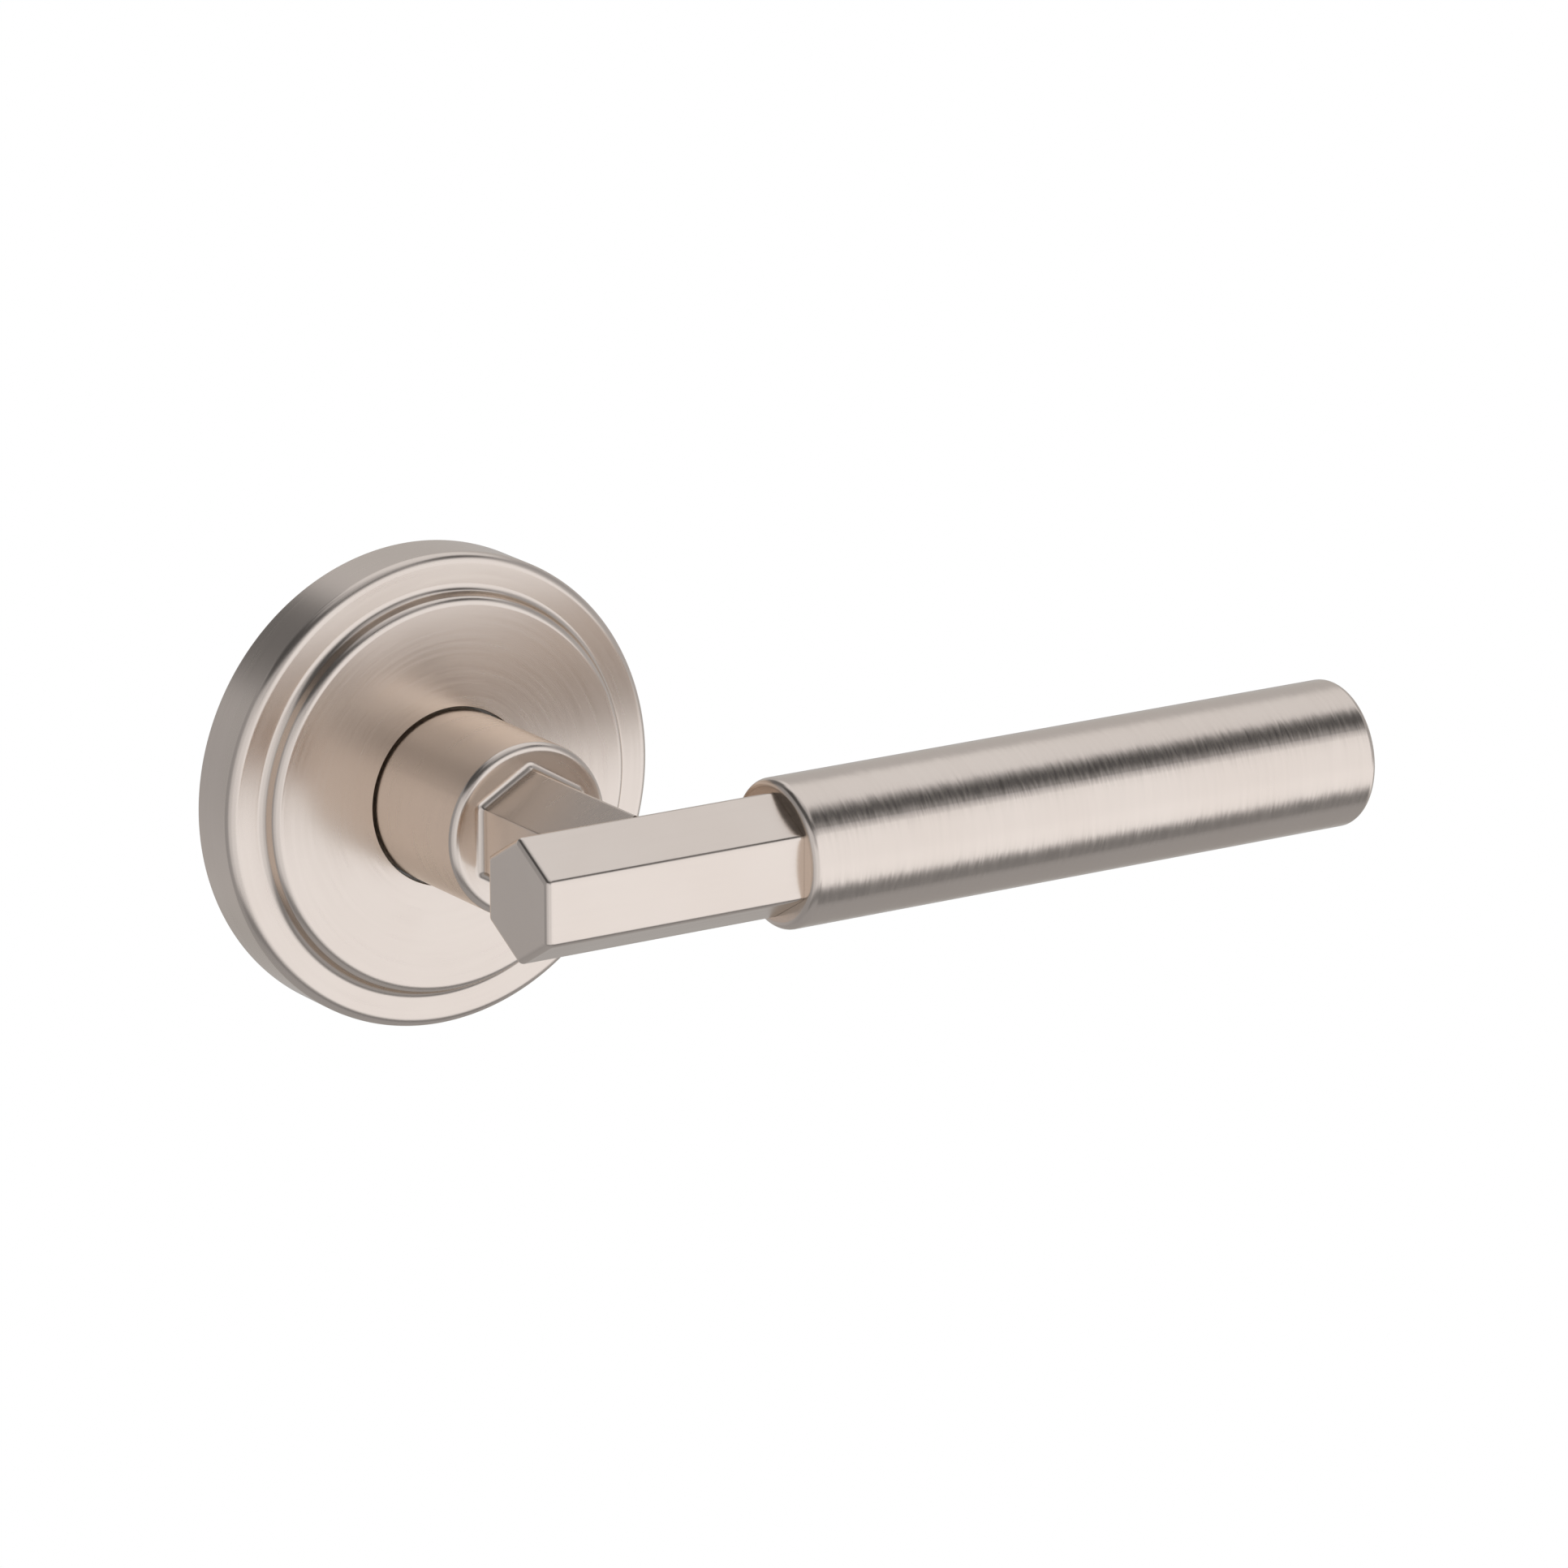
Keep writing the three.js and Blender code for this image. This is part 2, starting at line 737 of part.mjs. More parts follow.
add("rosette_cover", rosetteCover(), satinNickel);
add("cover_snap_ring", coverSnapRing(), springSteel);
add("cover_guide_washer", coverGuideWasher(), nylon);
add("mounting_plate", mountingPlate(), zincSteel);
add("bearing_bush", bearingBush(), bronze);
add("spring_housing", springHousing(), zincSteel);
add("return_spring", returnSpring(), springSteel);
RIVET.angles.forEach((angle, i) =>
  add(`housing_rivet_${i + 1}`, housingRivet(angle), zincSteel),
);
["left", "right"].forEach((side, i) => {
  add(`stop_pin_${side}`, stopPin(stopAngles()[i]), springSteel);
  add(`fixing_post_${side}`, fixingPost(i ? 1 : -1), zincSteel);
});

add("lever_neck", leverNeck(), satinNickel);
add("hex_bar", hexBar(), satinNickel);
add("bar_screw", barScrew(), blackSteel);
add("grip_sleeve", gripSleeve(), satinNickel);
add("grip_end_plug", gripEndPlug(), satinNickel);
add("grip_bush_inner", gripBushInner(), bronze);
add("grip_bush_outer", gripBush(BUSH.outer), bronze);
add("grip_set_screw", gripSetScrew(), blackSteel);
add("spindle", spindle(), zincSteel);
add("spindle_grub_screw", spindleGrubScrew(), blackSteel);
add("driver_plate", driverPlate(), zincSteel);
add("thrust_washer", thrustWasher(), bronze);
add("wave_washer", waveWasher(), springSteel);
add("retaining_ring", retainingRing(), springSteel);

export default handle;
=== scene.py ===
import json
import math

import bmesh
import bpy
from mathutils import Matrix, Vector


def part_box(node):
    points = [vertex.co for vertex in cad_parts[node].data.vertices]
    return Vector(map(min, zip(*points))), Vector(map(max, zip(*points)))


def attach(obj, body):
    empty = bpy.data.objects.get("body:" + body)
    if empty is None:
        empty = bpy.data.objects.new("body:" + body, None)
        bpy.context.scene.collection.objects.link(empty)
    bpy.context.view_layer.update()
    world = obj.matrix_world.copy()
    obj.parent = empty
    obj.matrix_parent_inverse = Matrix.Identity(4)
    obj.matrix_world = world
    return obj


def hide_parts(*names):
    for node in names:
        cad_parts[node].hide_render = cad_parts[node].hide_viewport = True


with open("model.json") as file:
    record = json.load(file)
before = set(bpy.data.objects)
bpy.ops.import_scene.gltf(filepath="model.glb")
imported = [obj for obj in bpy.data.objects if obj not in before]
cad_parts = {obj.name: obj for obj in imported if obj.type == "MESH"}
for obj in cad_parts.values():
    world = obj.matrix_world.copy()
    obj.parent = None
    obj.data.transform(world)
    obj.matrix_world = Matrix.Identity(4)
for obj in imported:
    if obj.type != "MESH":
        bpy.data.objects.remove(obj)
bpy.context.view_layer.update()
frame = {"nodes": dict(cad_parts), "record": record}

MM = 0.001
TINY = 1e-6

# The row's frame: the door's face is y = 0, the handle stands out along -Y, the lever runs
# along +X. "Depth" is the distance out from the door's face, so y = -depth. Sizes are in
# millimetres here and in metres in the scene.


def box_mm(node):
    """A CAD node's lowest and highest corners in millimetres."""
    low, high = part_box(node)
    return [v / MM for v in low], [v / MM for v in high]


# ------------------------------------------------------------------ sizes

COVER_LOW, COVER_HIGH = box_mm("rosette_cover")
ROSE_RADIUS = COVER_HIGH[2]
FACE_DEPTH = -COVER_LOW[1]
STEP = 2.6
RIM_DEPTH = FACE_DEPTH - STEP
DISC_RADIUS = 27.95
STEP_LEAN = 0.3  # the step's wall leans in, this far to each side of DISC_RADIUS
HOLE_RADIUS = 12.55
COVER_WALL = 1.6
RIM_ROUND = 1.45
STEP_FOOT_ROUND = 1.2
STEP_TOP_ROUND = 1.25

_, NECK_HIGH = box_mm("lever_neck")
NECK_RADIUS = NECK_HIGH[2]
NECK_DEPTH = 31.6
NECK_BACK = 8.9
NECK_EDGE = 1.15
HUB_RADIUS = 10.4
HUB_BACK = 7.6
TAIL_END = -NECK_HIGH[1]
TAIL_RADIUS = 9.2
CLIP_SEAT = 8.5
CLIP_PLAY = 0.05
SHANK_FILLET = 1.1
SHANK_ROUND = 0.4
SHANK_BITE = 0.25  # how far the shank's end reaches into the bar
SHANK_STOP = 0.4  # how far short of the bar's axis it ends at the latest
END_FACE_SHARES = (0.25, 0.5, 0.75, 0.97)  # rings on the neck's end, from its rim to the shank

SPINDLE_LOW, SPINDLE_HIGH = box_mm("spindle")
SPINDLE_EDGE = 0.45
SPINDLE_TAPER = 0.6
SPINDLE_TAPER_RUN = 0.8
SOCKET = SPINDLE_HIGH[2] + 0.1
SOCKET_END = -SPINDLE_LOW[1] + 0.5
SOCKET_CHAMFER = 0.4

BAR_LOW, BAR_HIGH = box_mm("hex_bar")
APOTHEM = (BAR_HIGH[1] - BAR_LOW[1]) / 2
AXIS_DEPTH = -(BAR_HIGH[1] + BAR_LOW[1]) / 2
CORNER = APOTHEM * 2 / math.sqrt(3)
BAR_SHOULDER = 35
BAR_ROUND = 0.9
LEAST_ROUND = 0.03
SPIGOT_RADIUS = 6
SPIGOT_EDGE = 0.8

GRIP_LOW, GRIP_HIGH = box_mm("grip_sleeve")
GRIP_RADIUS = GRIP_HIGH[2]
GRIP_BORE = 8.85
GRIP_WALL = 4
GRIP_EDGE = 1.2
GRIP_PLAY = 0.02

POST_RADIUS = 3
POST_HEAD_RADIUS = 3.7
POST_HEAD = 1
POST_FLOOR = 1.6  # solid material between the threaded bore and the head's face
BORE_RADIUS = 1.65
BORE_CHAMFER = 0.45
THREAD_PITCH = 0.8
THREAD_DEPTH = 0.28
THREAD_ROOT = 0.3  # where in a pitch the thread is deepest
THREAD_CREST = 0.55  # where in a pitch it is back at the bore

DRILL_LEAD = 2  # how far a drill stands out of the wall that it cuts
SOCKET_CUT = 1  # how far the neck's screw hole runs into the socket
NECK_SCREW_PLAY = 0.05
GRIP_SCREW_PLAY = 0.15

MERGE_DISTANCE = 0.001
SHARP_ANGLE = math.radians(32)
HOLE_SIDES = 64
HEX_CORNER_STEPS = 8
HEX_FLAT_STEPS = 20


# ------------------------------------------------------------------ outlines and rings

def arc_corner(before, corner, after, radius, steps):
    """Points that round an outline's corner with an arc of that radius."""
    p = Vector(corner)
    u = (Vector(before) - p).normalized()
    v = (Vector(after) - p).normalized()
    half = u.angle(v) / 2
    run = radius / math.tan(half)
    centre = p + (u + v).normalized() * (radius / math.sin(half))
    a, b = p + u * run - centre, p + v * run - centre
    turn = a.angle(b)
    points = []
    for i in range(steps + 1):
        t = i / steps
        w = (math.sin((1 - t) * turn) * a + math.sin(t * turn) * b) / math.sin(turn)
        points.append(tuple(centre + w))
    return points


def rounded(corners, steps=6):
    """An outline from (radius, along, rounding) corners. A rounding of 0 keeps it sharp."""
    points = []
    for i, (r, a, rounding) in enumerate(corners):
        if rounding:
            before = corners[i - 1][:2]
            after = corners[(i + 1) % len(corners)][:2]
            points += arc_corner(before, (r, a), after, rounding, steps)
        else:
            points.append((r, a))
    return points


def quarter_round(radius, steps):
    """Points of a quarter circle between two walls, as the distance from each of the two."""
    points = []
    for i in range(steps + 1):
        a = math.pi / 2 * i / steps
        points.append((radius * (1 - math.sin(a)), radius * (1 - math.cos(a))))
    return points


def hexagon_ring(apothem, rounding):
    """A hexagon with rounded corners, one at the top, as (across, up) points."""
    inner = apothem - rounding
    corner = inner * 2 / math.sqrt(3)
    points = []
    for side in range(6):
        middle = math.radians(90 + 60 * side)
        cx, cz = corner * math.cos(middle), corner * math.sin(middle)
        for i in range(HEX_CORNER_STEPS + 1):
            a = middle + math.radians(-30 + 60 * i / HEX_CORNER_STEPS)
            points.append((cx + rounding * math.cos(a), cz + rounding * math.sin(a)))
        a = middle + math.radians(30)
        start = Vector(points[-1])
        turn = math.radians(60)
        nx, nz = corner * math.cos(middle + turn), corner * math.sin(middle + turn)
        end = Vector((nx + rounding * math.cos(a), nz + rounding * math.sin(a)))
        for i in range(1, HEX_FLAT_STEPS):
            points.append(tuple(start.lerp(end, i / HEX_FLAT_STEPS)))
    return points


def rounded_square(half, edge, steps=5):
    """A square with rounded corners and upright sides, as (across, up) points."""
    points = []
    for corner in range(4):
        middle = math.radians(45 + 90 * corner)
        cx, cz = (math.copysign(half - edge, f(middle)) for f in (math.cos, math.sin))
        for i in range(steps + 1):
            a = middle + math.radians(-45 + 90 * i / steps)
            points.append((cx + edge * math.cos(a), cz + edge * math.sin(a)))
    return points


def square_point(half, angle):
    """Where a ray at that angle from the middle meets a square's outline."""
    c, s = math.cos(angle), math.sin(angle)
    reach = half / max(abs(c), abs(s))
    return reach * c, reach * s


def angles_of(points):
    """The angle at which each point is seen from the middle."""
    return [math.atan2(b, a) for a, b in points]


def circle(radius, angles):
    """Points of a circle at those angles."""
    return [(radius * math.cos(a), radius * math.sin(a)) for a in angles]


def flat_ring(points, depth):
    """A ring of (x, z) points round the spindle's axis, at one depth."""
    return [(x, -depth, z) for x, z in points]


def bar_ring(points, x):
    """A ring of (y, z) points round the lever's own axis, at one place along it."""
    return [(x, -AXIS_DEPTH + y, z) for y, z in points]


# ------------------------------------------------------------------ mesh helpers

def clean(mesh):
    """Merges points that lie on each other and turns every face outwards."""
    bm = bmesh.new()
    bm.from_mesh(mesh)
    bmesh.ops.remove_doubles(bm, verts=bm.verts, dist=MERGE_DISTANCE * MM)
    bmesh.ops.recalc_face_normals(bm, faces=bm.faces)
    bm.to_mesh(mesh)
    bm.free()


def new_object(name, vertices, faces):
    """An object in the scene, from vertices in millimetres."""
    mesh = bpy.data.meshes.new(name)
    mesh.from_pydata([[c * MM for c in v] for v in vertices], [], faces)
    clean(mesh)
    piece = bpy.data.objects.new(name, mesh)
    bpy.context.scene.collection.objects.link(piece)
    return piece


def skin(rings, closed=False):
    """Vertices and quads through rings of equal length. A ring of one point is a pole."""
    vertices, starts, faces = [], [], []
    for ring in rings:
        starts.append(len(vertices))
        vertices += ring
    pairs = list(zip(range(len(rings) - 1), range(1, len(rings))))
    if closed:
        pairs.append((len(rings) - 1, 0))
    for i, j in pairs:
        a, b = starts[i], starts[j]
        count = max(len(rings[i]), len(rings[j]))
        for k in range(count):
            m = (k + 1) % count
            if len(rings[i]) == 1:
                faces.append((a, b + k, b + m))
            elif len(rings[j]) == 1:
                faces.append((a + k, a + m, b))
            else:
                faces.append((a + k, a + m, b + m, b + k))
    return vertices, faces


def turned(name, outline, axis="Y", centre=(0, 0, 0), sides=192):
    """Turns an outline of (radius, along) points about Y, where along is the depth out from
    the door, or about X, where it is the distance along +X."""
    rings = []
    for r, a in outline:
        count = 1 if r < TINY else sides
        ring = []
        for k in range(count):
            t = 2 * math.pi * k / sides
            c, s = r * math.cos(t), r * math.sin(t)
            point = (c, -a, s) if axis == "Y" else (a, c, s)
            ring.append(tuple(p + o for p, o in zip(point, centre)))
        rings.append(ring)
    on_axis = outline[0][0] < TINY and outline[-1][0] < TINY
    return new_object(name, *skin(rings, closed=not on_axis))


def apply_modifiers(piece):
    """Makes what the modifiers show the piece's own mesh."""
    bpy.context.view_layer.update()
    depsgraph = bpy.context.evaluated_depsgraph_get()
    mesh = bpy.data.meshes.new_from_object(piece.evaluated_get(depsgraph))
    piece.modifiers.clear()
    piece.data = mesh


def drill(piece, x, depth, low, high, radius):
    """Cuts a round hole along Z, from underneath, into the piece."""
    outline = circle(radius, [2 * math.pi * k / HOLE_SIDES for k in range(HOLE_SIDES)])
    rings = [[(x, -depth, low)]]
    for z in (low, high):
        rings.append([(x + a, -depth + b, z) for a, b in outline])
    rings.append([(x, -depth, high)])
    tool = new_object("drill", *skin(rings))
    modifier = piece.modifiers.new("hole", "BOOLEAN")
    modifier.operation = "DIFFERENCE"
    modifier.solver = "EXACT"
    modifier.object = tool
    apply_modifiers(piece)
    clean(piece.data)
    bpy.data.objects.remove(tool)


def shade(mesh):
    """Smooth shading, with sharp edges where faces meet at a steep angle."""
    mesh.shade_smooth()
    mesh.set_sharp_from_angle(angle=SHARP_ANGLE)


def dress(mesh, material):
    """Gives a mesh one material."""
    mesh.materials.clear()
    mesh.materials.append(material)


def finish_piece(piece, node, body, material):
    """Shades and dresses a new piece, and puts it in its CAD node's place."""
    shade(piece.data)
    modifier = piece.modifiers.new("flat faces stay flat", "WEIGHTED_NORMAL")
    modifier.keep_sharp = True
    modifier.weight = 100
    apply_modifiers(piece)
    dress(piece.data, material)
    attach(piece, body)
    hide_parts(node)


# ------------------------------------------------------------------ node helpers

# Nearly all of a noise pattern lies between these values.
NOISE_LOW = 0.3
NOISE_HIGH = 0.7


class Tree:
    """Adds nodes to a node tree. An input is a number, a vector, a colour or the socket of
    another node."""

    def __init__(self, tree):
        self.tree = tree
        tree.nodes.clear()

    def add(self, kind, inputs=(), **settings):
        node = self.tree.nodes.new(kind)
        for name, value in settings.items():
            setattr(node, name, value)
        for key, value in dict(inputs).items():
            if isinstance(value, bpy.types.NodeSocket):
                self.tree.links.new(value, node.inputs[key])
            else:
                node.inputs[key].default_value = value
        return node

    def place(self, kind="Object"):
        return self.add("ShaderNodeTexCoord").outputs[kind]

    def split(self, vector):
        return self.add("ShaderNodeSeparateXYZ", {0: vector}).outputs

    def combine(self, x, y, z):
        return self.add("ShaderNodeCombineXYZ", {0: x, 1: y, 2: z}).outputs[0]

    def math(self, operation, *values):
        return self.add("ShaderNodeMath", enumerate(values), operation=operation).outputs[0]

    def vector(self, operation, *values):
        node = self.add("ShaderNodeVectorMath", enumerate(values), operation=operation)
        return node.outputs["Value" if operation == "LENGTH" else "Vector"]

    def scale(self, vector, factor):
        node = self.add("ShaderNodeVectorMath", {0: vector, 3: factor}, operation="SCALE")
        return node.outputs[0]

    def remap(self, value, low, high, to_low=0.0, to_high=1.0, kind="SMOOTHSTEP"):
        inputs = {"Value": value, "From Min": low, "From Max": high}
        inputs |= {"To Min": to_low, "To Max": to_high}
        node = self.add("ShaderNodeMapRange", inputs, interpolation_type=kind)
        return node.outputs["Result"]

    def noise(self, vector, scale, detail=2.0, roughness=0.5):
        inputs = {"Vector": vector, "Scale": scale, "Detail": detail, "Roughness": roughness}
        return self.add("ShaderNodeTexNoise", inputs).outputs["Fac"]

    def vary(self, noise, amount, middle=0.0):
        """A noise pattern as a number that varies by that amount to each side of the middle."""
        low, high = middle - amount, middle + amount
        return self.remap(noise, NOISE_LOW, NOISE_HIGH, low, high, "LINEAR")

    def mix_colours(self, factor, a, b):
        return self.add("ShaderNodeMix", {0: factor, 6: a, 7: b}, data_type="RGBA").outputs[2]

    def mix_numbers(self, factor, a, b):
        return self.add("ShaderNodeMix", {0: factor, 2: a, 3: b}).outputs[0]

    def bump(self, height, distance):
        inputs = {"Height": height, "Distance": distance, "Strength": 1.0}
        return self.add("ShaderNodeBump", inputs)

    def output(self, shader, kind="ShaderNodeOutputMaterial"):
        self.add(kind, {0: shader.outputs[0]})


def new_material(name):
    material = bpy.data.materials.new(name)
    material.use_nodes = True
    return material, Tree(material.node_tree)


# ------------------------------------------------------------------ materials

NICKEL = (0.745, 0.645, 0.562, 1.0)
NICKEL_WORN = (0.735, 0.632, 0.548, 1.0)
NICKEL_EDGE = (1.0, 0.96, 0.90, 1.0)

# The noise patterns' scales are per metre.
FINE_LINES = 9000
BROAD_LINES = 1800
SWAY_LINES = 2800
CLOUDS = 60
# How far the patterns change along the brush lines: on the bar as a share of the distance
# along it, and on a turned piece in metres for each radian round it.
ALONG_BAR = 0.03
ALONG_ROUND = 0.0008
LINE_DEPTH = 5e-7
LINE_GLOSS = 0.02
CLOUD_GLOSS = 0.015
METAL_CLOUDS = 400
METAL_GLOSS = 0.03
NYLON_GRAIN = 3000
NYLON_CLOUDS = 120
ACROSS_LINES = 0.25  # a quarter turn puts the stretched highlight across the brush lines


def brush_vector(t, brush):
    """Coordinates that change fast across the brush lines and slowly along them."""
    place = t.place()
    if brush == "round X":
        place = t.vector("ADD", place, (0, AXIS_DEPTH * MM, 0))
    x, y, z = t.split(place)
    if brush == "lengthwise":
        return t.combine(t.math("MULTIPLY", x, ALONG_BAR), y, z)
    if brush == "round Y":
        axial, radial = y, (x, z)
        direction = t.combine(x, 0.0, z)
    else:
        axial, radial = x, (y, z)
        direction = t.combine(0.0, y, z)
    distance = t.vector("LENGTH", direction)
    unit = [t.math("DIVIDE", r, t.math("ADD", distance, TINY)) for r in radial]
    if brush == "round Y":
        across = t.math("ADD", distance, axial)
    else:
        across = t.math("SUBTRACT", axial, distance)
    u, v = (t.math("MULTIPLY", c, ALONG_ROUND) for c in unit)
    return t.combine(across, u, v)


def swaying_normal(t, place, sway):
    """The surface's normal, tilted a little from one brush line to the next."""
    facing = t.add("ShaderNodeNewGeometry").outputs["Normal"]
    around = t.vector("CROSS_PRODUCT", facing, (1, 0, 0))
    tilt = t.vary(t.noise(place, SWAY_LINES), sway)
    return t.vector("ADD", facing, t.scale(around, tilt))


def satin_nickel(name, brush, roughness=0.225, anisotropy=0.15, lines=1.0, sway=0.0):
    """Brushed nickel. Lines is the strength of its brush lines, sway the most they tilt."""
    material, t = new_material(name)
    place = brush_vector(t, brush)
    fine = t.noise(place, FINE_LINES, detail=3.0, roughness=0.6)
    broad = t.noise(place, BROAD_LINES)
    cloud = t.noise(t.place(), CLOUDS, detail=3.0)
    height = t.math("ADD", fine, t.math("MULTIPLY", broad, 0.8))
    bump = t.bump(height, LINE_DEPTH * lines)
    if sway:
        t.tree.links.new(swaying_normal(t, place, sway), bump.inputs["Normal"])
    gloss = t.math("ADD", t.vary(broad, LINE_GLOSS * lines), roughness)
    inputs = {
        "Base Color": t.mix_colours(t.remap(cloud, NOISE_LOW, NOISE_HIGH), NICKEL, NICKEL_WORN),
        "Metallic": 1.0,
        "Roughness": t.math("ADD", gloss, t.vary(cloud, CLOUD_GLOSS)),
        "Anisotropic": anisotropy,
        "Specular Tint": NICKEL_EDGE,
        "Normal": bump.outputs[0],
    }
    if brush != "lengthwise":
        tangent = t.add("ShaderNodeTangent", direction_type="RADIAL", axis=brush[-1])
        inputs |= {"Tangent": tangent.outputs[0], "Anisotropic Rotation": ACROSS_LINES}
    t.output(t.add("ShaderNodeBsdfPrincipled", inputs))
    return material


def plain_metal(name, colour, roughness, grain=2500, depth=2e-6):
    """A dull metal with a fine grain and slightly darker clouds."""
    material, t = new_material(name)
    place = t.place()
    fine = t.noise(place, grain, detail=4.0, roughness=0.6)
    cloud = t.noise(place, METAL_CLOUDS, detail=4.0)
    dark = tuple(c * 0.93 for c in colour[:3]) + (1.0,)
    inputs = {
        "Base Color": t.mix_colours(t.remap(cloud, 0.35, 0.65), colour, dark),
        "Metallic": 1.0,
        "Roughness": t.vary(cloud, METAL_GLOSS, roughness),
        "Normal": t.bump(fine, depth).outputs[0],
    }
    t.output(t.add("ShaderNodeBsdfPrincipled", inputs))
    return material


def nylon_material():
    """A pale plastic with a fine grain."""
    material, t = new_material("nylon")
    place = t.place()
    tone = t.noise(place, NYLON_CLOUDS)
    grain = t.noise(place, NYLON_GRAIN, detail=3.0)
    inputs = {
        "Base Color": t.mix_colours(tone, (0.80, 0.79, 0.74, 1), (0.72, 0.71, 0.66, 1)),
        "Roughness": 0.5,
        "Subsurface Weight": 0.1,
        "Normal": t.bump(grain, 4e-6).outputs[0],
    }
    t.output(t.add("ShaderNodeBsdfPrincipled", inputs))
    return material


NICKEL_ROUND_Y = satin_nickel(
    "satin_nickel_turned", "round Y", roughness=0.25, anisotropy=0.2, lines=1.35
)
NICKEL_ROUND_X = satin_nickel("satin_nickel_tube", "round X", lines=1.8, sway=0.019)
NICKEL_LONG = satin_nickel("satin_nickel_bar", "lengthwise", anisotropy=0.0)
ZINC = plain_metal("zinc_plating", (0.62, 0.63, 0.64, 1), 0.34)


# ------------------------------------------------------------------ pieces that show

def rosette_cover():
    """A turned shell: out round the rim, up the step to the face, and back on the inside."""
    inner = ROSE_RADIUS - COVER_WALL
    corners = [
        (inner, 0, 0.15),
        (ROSE_RADIUS, 0, 0.2),
        (ROSE_RADIUS, RIM_DEPTH, RIM_ROUND),
        (DISC_RADIUS + STEP_LEAN, RIM_DEPTH, STEP_FOOT_ROUND),
        (DISC_RADIUS - STEP_LEAN, FACE_DEPTH, STEP_TOP_ROUND),
        (HOLE_RADIUS, FACE_DEPTH, 0.1),
        (HOLE_RADIUS, FACE_DEPTH - COVER_WALL, 0.1),
        (DISC_RADIUS - STEP_LEAN - COVER_WALL, FACE_DEPTH - COVER_WALL, 0.4),
        (DISC_RADIUS + STEP_LEAN - COVER_WALL, RIM_DEPTH - COVER_WALL, 0.4),
        (inner, RIM_DEPTH - COVER_WALL, 0.8),
    ]
    piece = turned("rosette_shell", rounded(corners, steps=10), sides=288)
    finish_piece(piece, "rosette_cover", "rose", NICKEL_ROUND_Y)


def neck_outline():
    """The tail, with the retaining ring's groove, then the hub and the neck, as
    (radius, depth) points."""
    clip_low, clip_high = box_mm("retaining_ring")
    groove_back, groove_front = -clip_high[1] - CLIP_PLAY, -clip_low[1] + CLIP_PLAY
    corners = [
        (0, TAIL_END, 0),
        (TAIL_RADIUS, TAIL_END, 0.8),
        (TAIL_RADIUS, groove_back, 0.12),
        (CLIP_SEAT, groove_back, 0.05),
        (CLIP_SEAT, groove_front, 0.05),
        (TAIL_RADIUS, groove_front, 0.12),
        (TAIL_RADIUS, HUB_BACK, 0.1),
        (HUB_RADIUS, HUB_BACK, 0.1),
        (HUB_RADIUS, NECK_BACK, 0.1),
        (NECK_RADIUS, NECK_BACK, 0.3),
        (NECK_RADIUS, NECK_DEPTH, NECK_EDGE),
        (0, NECK_DEPTH, 0),
    ]
    return rounded(corners, steps=8)[1:-1]


def shank_depth(z):
    """How far out the shank runs at that height, to end just inside the bar's back faces."""
    slope = max(0.0, abs(z) - CORNER / 2) * math.sqrt(3)
    return AXIS_DEPTH - APOTHEM + min(slope + SHANK_BITE, APOTHEM - SHANK_STOP)


def lever_neck():
    """The socket for the spindle, then the outside from the tail to the shank's end."""
    base = hexagon_ring(APOTHEM, SHANK_ROUND)
    angles = angles_of(base)
    socket = [square_point(SOCKET, a) for a in angles]
    mouth = [square_point(SOCKET + SOCKET_CHAMFER, a) for a in angles]
    rings = [[(0, -SOCKET_END, 0)], flat_ring(socket, SOCKET_END)]
    rings += [flat_ring(socket, TAIL_END + SOCKET_CHAMFER), flat_ring(mouth, TAIL_END)]
    rings += [flat_ring(circle(r, angles), depth) for r, depth in neck_outline()]
    rim = circle(NECK_RADIUS - NECK_EDGE, angles)
    foot = hexagon_ring(APOTHEM + SHANK_FILLET, SHANK_ROUND + SHANK_FILLET)
    for share in END_FACE_SHARES:
        ring = []
        for (cx, cz), (x, z) in zip(rim, foot):
            ring.append((cx + (x - cx) * share, cz + (z - cz) * share))
        rings.append(flat_ring(ring, NECK_DEPTH))
    for out, rise in quarter_round(SHANK_FILLET, steps=10):
        hexagon = hexagon_ring(APOTHEM + out, SHANK_ROUND + out)
        rings.append(flat_ring(hexagon, NECK_DEPTH + rise))
    rings.append([(x, -shank_depth(z), z) for x, z in base])
    rings.append([(0, -shank_depth(0), 0)])
    piece = new_object("neck_and_shank", *skin(rings))
    screw_low, screw_high = box_mm("spindle_grub_screw")
    middle = -(screw_low[1] + screw_high[1]) / 2
    radius = screw_high[0] + NECK_SCREW_PLAY
    drill(piece, 0, middle, -NECK_RADIUS - DRILL_LEAD, -SOCKET + SOCKET_CUT, radius)
    finish_piece(piece, "lever_neck", "lever", NICKEL_ROUND_Y)


